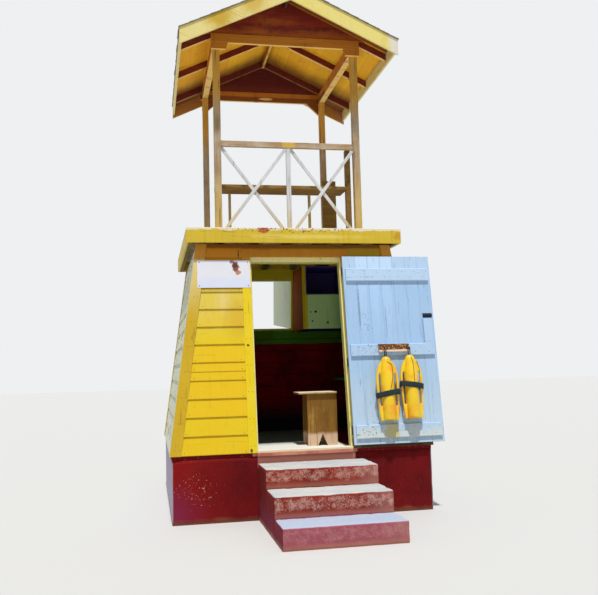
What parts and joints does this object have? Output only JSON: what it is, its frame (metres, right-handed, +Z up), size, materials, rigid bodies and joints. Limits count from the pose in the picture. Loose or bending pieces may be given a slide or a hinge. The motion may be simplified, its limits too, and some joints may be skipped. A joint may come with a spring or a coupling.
{
  "type": "lifeguard tower",
  "caption": "Beach lookout tower: timber cabin with leaning walls and a plank door on a masonry plinth with steps, a railed deck and a gable shelter on top.",
  "frame": {"origin": "centre of the plinth's underside, on the ground", "axes": "+X to the right as seen from the steps, +Y towards the back, +Z up"},
  "size_m": [2.8742, 4.6736, 5.7621],
  "materials": {
    "masonry_red": "matte",
    "floor_concrete": "matte",
    "step_concrete": "matte",
    "front_boards": "satin",
    "side_boards": "matte",
    "yellow_trim": "satin",
    "frame_timber": "satin",
    "deck_timber": "matte",
    "post_timber": "matte",
    "brace_timber": "matte",
    "roof_timber": "matte",
    "gable_timber": "matte",
    "barge_paint": "satin",
    "roof_shingles": "matte",
    "sign_metal": "satin",
    "window_timber": "satin",
    "shutter_timber": "matte",
    "cabinet_timber": "satin",
    "stool_timber": "matte",
    "door_boards": "satin",
    "hinge_steel": "matte",
    "rack_timber": "matte",
    "can_plastic": "gloss",
    "webbing": "matte"
  },
  "bodies": {
    "tower": {"plinth": "masonry_red", "floor_slab": "floor_concrete", "step_top": "step_concrete", "step_middle": "step_concrete", "step_bottom": "step_concrete", "front_wall_left": "front_boards", "front_wall_right": "front_boards", "front_wall_header": "front_boards", "left_wall": "side_boards", "right_wall": "side_boards", "back_wall_below_window": "side_boards", "back_wall_above_window": "side_boards", "back_wall_sides": "side_boards", "corner_boards": "yellow_trim", "door_jambs": "frame_timber", "door_head": "frame_timber", "door_casing_sides": "yellow_trim", "door_head_board": "yellow_trim", "sign_plate": "sign_metal", "window_frame": "window_timber", "window_shutter": "shutter_timber", "deck_joists": "deck_timber", "deck_boards": "deck_timber", "deck_fascias_long": "yellow_trim", "deck_fascias_short": "yellow_trim", "posts": "post_timber", "post_feet": "post_timber", "side_plates": "roof_timber", "front_top_rail": "post_timber", "front_baluster": "brace_timber", "front_braces_rising": "brace_timber", "front_braces_falling": "brace_timber", "bench_seat": "deck_timber", "bench_supports": "post_timber", "short_posts": "post_timber", "tie_beams": "roof_timber", "tie_brackets": "roof_timber", "ridge_board": "roof_timber", "rafters": "roof_timber", "roof_boards": "roof_timber", "roof_covering": "roof_shingles", "gable_boards": "gable_timber", "barge_boards_left": "barge_paint", "barge_boards_right": "barge_paint", "eave_fascias": "barge_paint", "wall_cabinet": "cabinet_timber", "cabinet_front": "cabinet_timber", "side_shelves": "cabinet_timber", "stool_top": "stool_timber", "stool_frame": "stool_timber", "hinge_plates": "hinge_steel"},
    "door": {"door_straps": "hinge_steel", "door_leaf": "door_boards", "door_ledges": "door_boards", "door_bolt": "hinge_steel", "can_rack": "rack_timber", "rescue_cans": "can_plastic", "can_straps": "webbing"}
  },
  "joints": [
    {"name": "door_hinge", "type": "hinge", "parent": "tower", "child": "door", "pos_m": [0.5, -1.28855, 1.66616], "axis": [0, -0.1392, -0.9903], "range_deg": [0, 180]}
  ]
}
